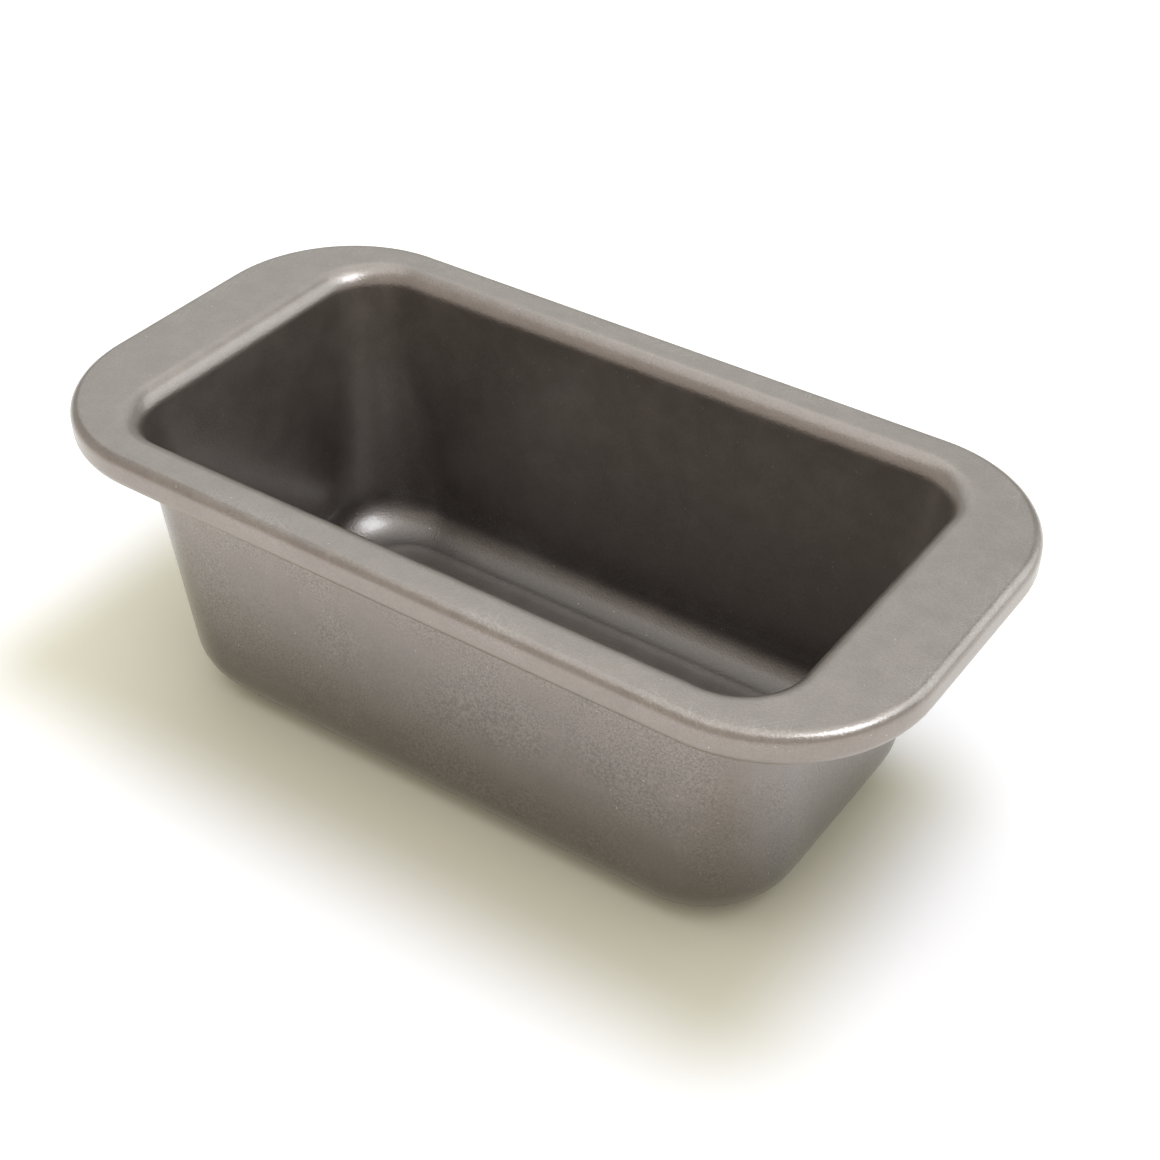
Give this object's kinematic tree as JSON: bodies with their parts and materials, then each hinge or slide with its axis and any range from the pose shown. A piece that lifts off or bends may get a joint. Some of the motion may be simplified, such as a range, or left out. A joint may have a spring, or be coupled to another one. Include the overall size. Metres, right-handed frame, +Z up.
{
  "type": "mini loaf pan",
  "caption": "Small rectangular loaf pan drawn from coated sheet steel, with nearly upright walls, rounded corners, a wide flat grip flange at each end and an edge rolled round a wire.",
  "frame": {"origin": "on the table, under the middle of the pan", "axes": "+X along the pan towards one grip, +Y across it, +Z up out of the pan's mouth"},
  "size_m": [0.16, 0.0828, 0.0555],
  "materials": {
    "nonstick_coating": "satin, with a fine metallic speckle",
    "bright_steel": "drawn wire, bare"
  },
  "bodies": {
    "root": {"pan_body": "nonstick_coating", "rim_wire": "bright_steel"}
  },
  "joints": []
}
